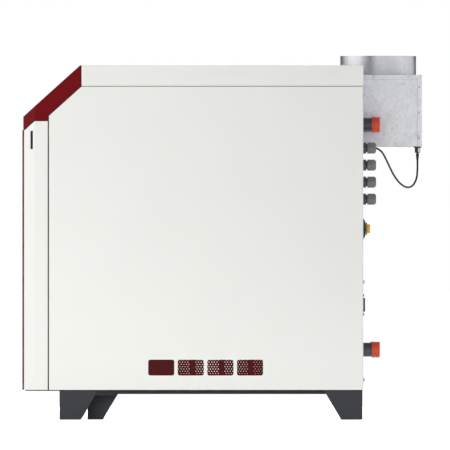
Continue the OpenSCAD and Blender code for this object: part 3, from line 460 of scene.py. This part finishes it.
mill_scale = black_steel("black_mill_scale")
cap_plastic = moulded_plastic("red_soft_polythene", "EA5230", "DD472A", 0.28, 0.8, 0.12)
dress(mill_scale, "flow_pipe", "return_pipe", "gas_pipe", "gas_manifold")
softened("pipe_caps", 0.0006, cap_plastic)


# Side panels: white powder-coated sheet, folded all round, with four vents near
# the floor that are backed by painted perforated sheet.
white_coat = powder_coat("white_powder_coat", "EFF0EB", "EBECE7", 1.8, 0.05, 0.42)
for panel in ("side_panel_left", "side_panel_right"):
    softened(panel, 0.0005, white_coat)


def repeat(name, spots, facings, template, merge):
    # copies of the template on the spots, each turned so that its Z axis faces outwards
    tree = bpy.data.node_groups.new(name + "_repeat", "GeometryNodeTree")
    face = tree.interface
    face.new_socket("Geometry", in_out="INPUT", socket_type="NodeSocketGeometry")
    shape_in = face.new_socket("Template", in_out="INPUT", socket_type="NodeSocketObject")
    merge_in = face.new_socket("Merge distance", in_out="INPUT", socket_type="NodeSocketFloat")
    finish_in = face.new_socket("Finish", in_out="INPUT", socket_type="NodeSocketMaterial")
    face.new_socket("Geometry", in_out="OUTPUT", socket_type="NodeSocketGeometry")
    given = add(tree, "NodeGroupInput").outputs
    points = add(tree, "GeometryNodeMeshToPoints", {"Mesh": given["Geometry"]})
    outward = add(tree, "GeometryNodeInputNamedAttribute", {
        "Name": "outward"}, data_type="FLOAT_VECTOR")
    turn = add(tree, "FunctionNodeAlignRotationToVector", {"Vector": outward.outputs[0]}, axis="Z")
    shape = add(tree, "GeometryNodeObjectInfo", {"Object": given["Template"]})
    copies = add(tree, "GeometryNodeInstanceOnPoints", {
        "Points": points.outputs[0], "Instance": shape.outputs["Geometry"],
        "Rotation": turn.outputs[0]})
    real = add(tree, "GeometryNodeRealizeInstances", {"Geometry": copies.outputs[0]})
    joined = add(tree, "GeometryNodeMergeByDistance", {
        "Geometry": real.outputs[0], "Distance": given["Merge distance"]})
    painted = add(tree, "GeometryNodeSetMaterial", {
        "Geometry": joined.outputs[0], "Material": given["Finish"]})
    add(tree, "NodeGroupOutput", {"Geometry": painted.outputs[0]})
    seed = bpy.data.meshes.new(name)
    seed.from_pydata(spots, [], [])
    seed.attributes.new("outward", "FLOAT_VECTOR", "POINT")
    seed.attributes["outward"].data.foreach_set("vector", [c for v in facings for c in v])
    carrier = bpy.data.objects.new(name, seed)
    scene.collection.objects.link(carrier)
    work = carrier.modifiers.new("repeat", "NODES")
    work.node_group = tree
    work[shape_in.identifier] = template
    work[merge_in.identifier] = merge
    work[finish_in.identifier] = template.data.materials[0]
    graph = bpy.context.evaluated_depsgraph_get()
    done = bpy.data.meshes.new_from_object(carrier.evaluated_get(graph))
    bpy.data.objects.remove(carrier)
    bpy.data.objects.remove(template)
    return done


def hidden_template(name, points, faces, finish):
    mesh = bpy.data.meshes.new(name)
    mesh.from_pydata(points, [], faces)
    mesh.materials.append(finish)
    made = bpy.data.objects.new(name, mesh)
    scene.collection.objects.link(made)
    return made


HOLE_PITCH = 0.0064
HOLE_R = 0.00115
PATTERN_SHIFT = 0.0002
PATTERN_RISE = 0.0021
STAGGER = 0.25
CELL_MERGE = 1e-5
MESH_T = 0.001
MESH_BORDER = 0.004
MESH_SIDES = 12
vent_red = powder_coat("vent_red_coat", "4F1213", "440F11", 1.2, 0.05, 0.5, 0.15)

tile_points = []
for depth in (0.0, -MESH_T):
    for ring in ("hole", "cell"):
        for k in range(MESH_SIDES):
            cell_r = HOLE_PITCH / math.sqrt(3) if k % 2 == 0 else HOLE_PITCH / 2
            r = HOLE_R if ring == "hole" else cell_r
            a = 2 * math.pi * k / MESH_SIDES
            tile_points.append((r * math.cos(a), r * math.sin(a), depth))
tile_faces = []
hole, cell, back_hole, back_cell = (i * MESH_SIDES for i in range(4))
for k in range(MESH_SIDES):
    n = (k + 1) % MESH_SIDES
    tile_faces.append((hole + k, cell + k, cell + n, hole + n))
    tile_faces.append((back_hole + n, back_cell + n, back_cell + k, back_hole + k))
    tile_faces.append((hole + n, back_hole + n, back_hole + k, hole + k))
tile = hidden_template("mesh_cell", tile_points, tile_faces, vent_red)

# The two sheets are one part, turned round for the other side, so the holes of the
# right one lie a little higher and further back than those of the left one. The real
# pitch is finer: it is drawn this coarse so that the holes show
mesh_low, mesh_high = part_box("vent_meshes")
row_step = HOLE_PITCH * math.sqrt(3) / 2
columns = int((mesh_high.y - mesh_low.y - 2 * MESH_BORDER) / HOLE_PITCH)
rows = int((mesh_high.z - mesh_low.z - 2 * MESH_BORDER) / row_step)
middle_y = (mesh_low.y + mesh_high.y) / 2
middle_z = (mesh_low.z + mesh_high.z) / 2
cells = []
cell_facings = []
for side in (1, -1):
    for row in range(rows):
        for column in range(columns):
            stagger = STAGGER if row % 2 else -STAGGER
            across = (column - (columns - 1) / 2 + stagger) * HOLE_PITCH
            upwards = (row - (rows - 1) / 2) * row_step
            y = middle_y + across + side * PATTERN_SHIFT
            z = middle_z + upwards + side * PATTERN_RISE
            cells.append((side * mesh_high.x, y, z))
            cell_facings.append((side, 0, 0))
perforated = repeat("vent_mesh_perforated", cells, cell_facings, tile, CELL_MERGE)
rims = bmesh.new()
rims.from_mesh(perforated)
for side in (1, -1):
    open_edges = [e for e in rims.edges if e.is_boundary and e.verts[0].co.x * side > 0]
    bmesh.ops.bridge_loops(rims, edges=open_edges)
bmesh.ops.recalc_face_normals(rims, faces=rims.faces)
rims.to_mesh(perforated)
rims.free()
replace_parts(piece("vent_mesh_perforated", perforated), "vent_meshes")


# Casing back and top: a galvanised rear sheet, and the white top cover that laps
# down over the side panels and is notched round the flue diverter.
# Galvanised sheet: hot-dip zinc, light grey with faint spangle crystals of 8 mm, soft
# darker specks, cloudy bloom and painted shade along the lines where sheets lap
def galvanised(name, code, shade_code, roughness):
    spangle_size = 0.008
    speck_size = 0.007
    bloom_size = 0.03
    painted_shade_reach = 0.003
    spread = 0.05
    made, tree = new_finish(name)
    where = add(tree, "ShaderNodeTexCoord").outputs["Object"]
    spangle = add(tree, "ShaderNodeTexVoronoi", {"Vector": where, "Scale": 1 / spangle_size})
    fleck = add(tree, "ShaderNodeSeparateColor", {0: spangle.outputs["Color"]}).outputs[0]
    even = add(tree, "ShaderNodeMapRange", {0: fleck, 3: 0.7, 4: 1.0})
    specks = add(tree, "ShaderNodeTexNoise", {"Vector": where, "Scale": 1 / speck_size, "Detail": 5.0})
    clean = add(tree, "ShaderNodeMapRange", {
        0: specks.outputs[0], 1: 0.54, 2: 0.76, 3: 1.0, 4: 0.35})
    # Painted shade: a darker line where sheets lap and in corners, found by ambient occlusion
    corner = add(tree, "ShaderNodeAmbientOcclusion", {"Distance": painted_shade_reach})
    shade_mask = add(tree, "ShaderNodeMapRange", {
        0: corner.outputs["AO"], 1: 0.45, 2: 0.95, 3: 0.0, 4: 1.0})
    marked = add(tree, "ShaderNodeMath", {
        0: even.outputs[0], 1: clean.outputs[0]}, operation="MULTIPLY")
    spangle_specks_and_shade = add(tree, "ShaderNodeMath", {
        0: marked.outputs[0], 1: shade_mask.outputs[0]}, operation="MULTIPLY")
    bloom = add(tree, "ShaderNodeTexNoise", {"Vector": where, "Scale": 1 / bloom_size, "Detail": 4.0})
    cloudy = add(tree, "ShaderNodeMapRange", {
        0: bloom.outputs[0], 1: 0.3, 2: 0.7, 3: 0.7, 4: 1.0})
    mottled = add(tree, "ShaderNodeMath", {
        0: spangle_specks_and_shade.outputs[0], 1: cloudy.outputs[0]}, operation="MULTIPLY")
    tone = add(tree, "ShaderNodeMix", {
        0: mottled.outputs[0], 6: linear(shade_code), 7: linear(code)}, data_type="RGBA")
    dull = add(tree, "ShaderNodeMapRange", {0: fleck, 3: roughness - spread, 4: roughness + spread})
    relief = add(tree, "ShaderNodeBump", {
        "Height": specks.outputs[0], "Strength": 0.01, "Distance": 0.0003})
    skin = add(tree, "ShaderNodeBsdfPrincipled", {
        "Base Color": tone.outputs[2], "Roughness": dull.outputs[0], "Metallic": 0.85,
        "Normal": relief.outputs[0]})
    add(tree, "ShaderNodeOutputMaterial", {"Surface": skin.outputs[0]})
    return made


zinc_sheet = galvanised("galvanised_zinc_sheet", "E4E5EA", "B4B5BB", 0.46)
dress(zinc_sheet, "rear_panel", "smoke_hood")
softened("top_cover", 0.0005, white_coat)


# Front: the sloping red control hood with its black fascia, and the folded white
# door that carries the red front panel and a recessed grip in each chamfer.
red_coat = powder_coat("wine_red_powder_coat", "721218", "6B1016", 1.8, 0.05, 0.45, 0.06)
black_abs = moulded_plastic("black_moulded_abs", "232326", "1B1B1D", 0.45, 0.5)
softened("control_hood", 0.0005, red_coat)
softened("front_door", 0.0005, white_coat)
softened("front_panel", 0.0007, red_coat, segments=3)
softened("control_fascia", 0.0004, black_abs)
softened("door_grips", 0.0003, black_abs)


# Display glass: a dark hard-coated window, almost a mirror
def display_pane(name, code):
    smear_size = 0.02
    made, tree = new_finish(name)
    where = add(tree, "ShaderNodeTexCoord").outputs["Object"]
    smear = add(tree, "ShaderNodeTexNoise", {"Vector": where, "Scale": 1 / smear_size, "Detail": 3.0})
    clean = add(tree, "ShaderNodeMapRange", {0: smear.outputs[0], 3: 0.06, 4: 0.16})
    skin = add(tree, "ShaderNodeBsdfPrincipled", {
        "Base Color": linear(code), "Roughness": clean.outputs[0], "IOR": 1.52})
    add(tree, "ShaderNodeOutputMaterial", {"Surface": skin.outputs[0]})
    return made


dress(display_pane("dark_display_glass", "23282B"), "display_window")


# Casing seam shade: black strips set just behind the seams between the door, the hood,
# the top cover and the side panels, a dark sheet put in as painted shade so that the
# seams read dark and no light shows through them.
STRIP_DEPTH = 0.012
STRIP_SINK = 0.0016
STRIP_LAP = 0.002
SEAM_PLAY = 0.0001
EDGE_STRIP_SINK = 0.0006
SHEET_T = 0.0015
RIBBON_INSET = 0.003
RIBBON_W = 0.004
DOOR_CHAMFER = 0.026
DOOR_FALL = 23 / 26
HOOD_EDGE_FOOT = 0.731
SLANT_GAP = 0.0026
# Painted shade: the black finish of the strips behind the seams
seam_shade_finish = extruded_rubber("black_seam_shade", "161617")
half_w = cad_high.x
door_low, door_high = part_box("front_door")
panel_low, panel_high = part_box("side_panel_right")
hood_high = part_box("control_hood")[1]
cover_low, cover_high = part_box("top_cover")


def prism(work, near, far):
    # a solid between two like outlines, with its sides and both ends closed
    first = [work.verts.new(p) for p in near]
    last = [work.verts.new(p) for p in far]
    work.faces.new(first)
    work.faces.new(last[::-1])
    for k in range(len(first)):
        n = (k + 1) % len(first)
        work.faces.new((first[k], last[k], last[n], first[n]))


def rectangle(y0, y1, z0, z1):
    return [(y0, z0), (y1, z0), (y1, z1), (y0, z1)]


shade_strips = bmesh.new()
strip_x = half_w - STRIP_SINK
cover_under = cover_high.z - SHEET_T - SEAM_PLAY
lap_y0 = hood_high.y - STRIP_LAP
lap_y1 = cover_low.y + STRIP_LAP
door_seam = rectangle(door_high.y + SEAM_PLAY, panel_low.y - SEAM_PLAY, door_low.z, HOOD_EDGE_FOOT)
cover_seam = rectangle(lap_y0, lap_y1, cover_low.z, cover_under)
slant_foot = HOOD_EDGE_FOOT - SLANT_GAP + SEAM_PLAY
slant_head = cover_low.z - SLANT_GAP + SEAM_PLAY
slant_seam = [
    (panel_low.y, slant_foot), (hood_high.y, slant_head),
    (hood_high.y, cover_low.z + STRIP_LAP), (panel_low.y, HOOD_EDGE_FOOT + STRIP_LAP)]
fold_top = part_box("rear_panel")[1].z
edge_seam = rectangle(hood_high.y, panel_high.y, fold_top + SEAM_PLAY, cover_low.z - SEAM_PLAY)
for side in (1, -1):
    for seam in (door_seam, cover_seam, slant_seam):
        prism(shade_strips, [(side * strip_x, y, z) for y, z in seam],
              [(side * (strip_x - STRIP_DEPTH), y, z) for y, z in seam])
    prism(shade_strips, [(side * (half_w - EDGE_STRIP_SINK), y, z) for y, z in edge_seam],
          [(side * (half_w - SHEET_T), y, z) for y, z in edge_seam])
bridge_x = strip_x - STRIP_DEPTH
bridge = rectangle(lap_y0, lap_y1, cover_under - STRIP_DEPTH, cover_under)
prism(shade_strips, [(-bridge_x, y, z) for y, z in bridge], [(bridge_x, y, z) for y, z in bridge])

# Black ribbon on top of the door, round its chamfered plan, up to the hood's underside:
# painted shade in the seam below the hood
chamfer_y = door_low.y + DOOR_CHAMFER
ribbon_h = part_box("front_frame")[1].z - door_high.z - 2 * SEAM_PLAY


def ribbon_corners(inset):
    k = inset * (math.sqrt(2) - 1)
    x_front = half_w - DOOR_CHAMFER - k
    right = [(half_w - inset, door_high.y), (half_w - inset, chamfer_y + k),
             (half_w - inset - k, chamfer_y), (x_front, door_low.y + inset)]
    return right + [(-x, y) for x, y in right[::-1]]


stations = []
outer = ribbon_corners(RIBBON_INSET)
inner = ribbon_corners(RIBBON_INSET + RIBBON_W)
for (xo, yo), (xi, yi) in zip(outer, inner):
    ring = []
    for x, y, up in ((xo, yo, 0), (xo, yo, ribbon_h), (xi, yi, ribbon_h), (xi, yi, 0)):
        fall = max(0.0, chamfer_y - y) * DOOR_FALL
        ring.append(shade_strips.verts.new((x, y, door_high.z - fall + SEAM_PLAY + up)))
    stations.append(ring)
for before, after in zip(stations, stations[1:]):
    for k in range(4):
        n = (k + 1) % 4
        shade_strips.faces.new((before[k], before[n], after[n], after[k]))
shade_strips.faces.new(stations[0])
shade_strips.faces.new(stations[-1][::-1])
bmesh.ops.recalc_face_normals(shade_strips, faces=shade_strips.faces)
shade_strip_mesh = bpy.data.meshes.new("casing_seals")
shade_strips.to_mesh(shade_strip_mesh)
shade_strips.free()
# The black strips are a dark sheet put behind the seams as painted shade
piece("casing_seals", shade_strip_mesh, finish=seam_shade_finish)


# Flue diverter: a box of galvanised sheet with lapped and screwed flanges, open
# below for draught relief, with the round flue collar on top.
collar_zinc = galvanised("rolled_zinc_collar", "D4D5DA", "B2B3B9", 0.34)
for sheet_part in ("diverter_top", "diverter_back"):
    softened(sheet_part, 0.0004, zinc_sheet)
dress(zinc_sheet, "diverter_sides", "diverter_front")
dress(collar_zinc, "flue_collar")


# Rear fittings: grey polyamide cable glands with darker bodies, the main switch with
# its yellow knob on a matt black plate, and a black blanking cover below them.
grey_polyamide = moulded_plastic("grey_polyamide", "7A7A7B", "6C6C6F", 0.42, 0.4, gleam=0.3)
dark_polyamide = moulded_plastic("dark_grey_polyamide", "636364", "565658", 0.42, 0.4, gleam=0.3)
matt_abs = moulded_plastic("black_matt_abs", "1F1F23", "19191C", 0.55, 0.5, gleam=0.15)
yellow_abs = moulded_plastic("yellow_moulded_abs", "F6C54A", "ECB93E", 0.3, 0.5)
softened("gland_bodies", 0.0006, dark_polyamide)
softened("gland_nuts", 0.0008, grey_polyamide)
softened("main_switch_plate", 0.0005, matt_abs)
softened("main_switch_knob", 0.0006, yellow_abs, body="switch_knob")
softened("blanking_cover", 0.0008, black_abs)


# Spillage sensor: a black moulded switch under the diverter's lip, with a rubber boot
# on its plug and a bright spring clip round the rear half of its body.
SENSOR_R = 0.0065
CLIP_PLAY = 0.0001
CLIP_FOOT = 0.0045
CLIP_HEAD = 0.0035
CLIP_T = 0.0004
CLIP_SWEEP = math.radians(80)
CLIP_STEPS = 16
dress(black_rubber, "sensor_boot")
softened("spillage_sensor", 0.0005, black_abs)
sensor_low, sensor_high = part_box("spillage_sensor")
sensor_axis = (sensor_low + sensor_high) / 2
clip_r = SENSOR_R + CLIP_PLAY
clip_low = sensor_low.z + CLIP_FOOT
clip_high = sensor_high.z - CLIP_HEAD
clip_outline = []
for r, way in ((clip_r + CLIP_T, 1), (clip_r, -1)):
    for k in range(CLIP_STEPS + 1):
        a = way * CLIP_SWEEP * (2 * k / CLIP_STEPS - 1)
        clip_outline.append((sensor_axis.x + r * math.sin(a), sensor_axis.y + r * math.cos(a)))
clip = bmesh.new()
prism(clip, [(x, y, clip_low) for x, y in clip_outline],
      [(x, y, clip_high) for x, y in clip_outline])
bmesh.ops.recalc_face_normals(clip, faces=clip.faces)
clip_mesh = bpy.data.meshes.new("sensor_clip")
clip.to_mesh(clip_mesh)
clip.free()
piece("sensor_clip", clip_mesh, finish=zinc_plate)


# Screws: pan heads with a cross recess, driven into the sheet. Zinc-plated ones hold
# the rear panel and the diverter's flanges, black ones the blanking cover.
HEAD_SIDES = 24
HEAD_RINGS = [(1.0, 0.0), (1.0, 0.3), (0.92, 0.58), (0.76, 0.8), (0.52, 0.96)]
RECESS_RINGS = [(1.0, 0.98), (0.72, 0.45)]
RECESS_FLOOR = 0.38
CROSS_ARM = 0.46
CROSS_WEB = 0.2
black_zinc = plated_metal("black_zinc_plate", "3A3B3E", "2B2C2E", 0.36)
bright_zinc = plated_metal("bright_zinc_plate", "F2F2F4", "E4E5E8", 0.5)


def screw_head(name, radius, height, finish):
    points = []
    for r, z in HEAD_RINGS:
        for k in range(HEAD_SIDES):
            a = 2 * math.pi * k / HEAD_SIDES
            points.append((radius * r * math.cos(a), radius * r * math.sin(a), height * z))
    for shrink, z in RECESS_RINGS:
        for k in range(HEAD_SIDES):
            a = 2 * math.pi * k / HEAD_SIDES
            r = shrink * radius * (CROSS_ARM if k % 6 in (5, 0, 1) else CROSS_WEB)
            points.append((r * math.cos(a), r * math.sin(a), height * z))
    points.append((0, 0, height * RECESS_FLOOR))
    last = (len(HEAD_RINGS) + 1) * HEAD_SIDES
    faces = []
    for low in range(0, last, HEAD_SIDES):
        for k in range(HEAD_SIDES):
            n = (k + 1) % HEAD_SIDES
            faces.append((low + k, low + n, low + HEAD_SIDES + n, low + HEAD_SIDES + k))
    for k in range(HEAD_SIDES):
        faces.append((last + k, last + (k + 1) % HEAD_SIDES, last + HEAD_SIDES))
    return hidden_template(name, points, faces, finish)


# Radius and height of the heads
PANEL_HEAD = (0.0046, 0.0036)
FLANGE_HEAD = (0.0032, 0.0022)
COVER_HEAD = (0.0034, 0.0026)
PANEL_SCREW_INSET = 0.012
PANEL_SCREW_Z = (0.776, 0.33, 0.095)
FLANGE_SCREWS = (
    (0.365, 0.8225), (0.448, 0.8225), (0.4745, 0.797), (0.4745, 0.737), (0.4745, 0.675))
COVER_SCREW_Z = (0.298, 0.2525)
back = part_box("rear_panel")[1].y
panel_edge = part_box("rear_panel")[1].x - PANEL_SCREW_INSET
diverter_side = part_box("diverter_top")[1].x
panel_spots = [(side * panel_edge, back, z) for side in (1, -1) for z in PANEL_SCREW_Z]
panel_heads = repeat("rear_panel_screws", panel_spots, [(0, 1, 0)] * len(panel_spots),
                     screw_head("pan_head", *PANEL_HEAD, zinc_plate), 0.0)
piece("rear_panel_screws", panel_heads)
flange_spots = [(side * diverter_side, y, z) for side in (1, -1) for y, z in FLANGE_SCREWS]
flange_ways = [(side, 0, 0) for side in (1, -1) for spot in FLANGE_SCREWS]
flange_heads = repeat("diverter_screws", flange_spots, flange_ways,
                      screw_head("flange_head", *FLANGE_HEAD, bright_zinc), 0.0)
piece("diverter_screws", flange_heads)
blank_low, blank_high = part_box("blanking_cover")
cover_x = (blank_low.x + blank_high.x) / 2
cover_spots = [(cover_x, back, z) for z in COVER_SCREW_Z]
cover_heads = repeat("cover_screws", cover_spots, [(0, 1, 0)] * len(cover_spots),
                     screw_head("cover_head", *COVER_HEAD, black_zinc), 0.0)
piece("cover_screws", cover_heads)
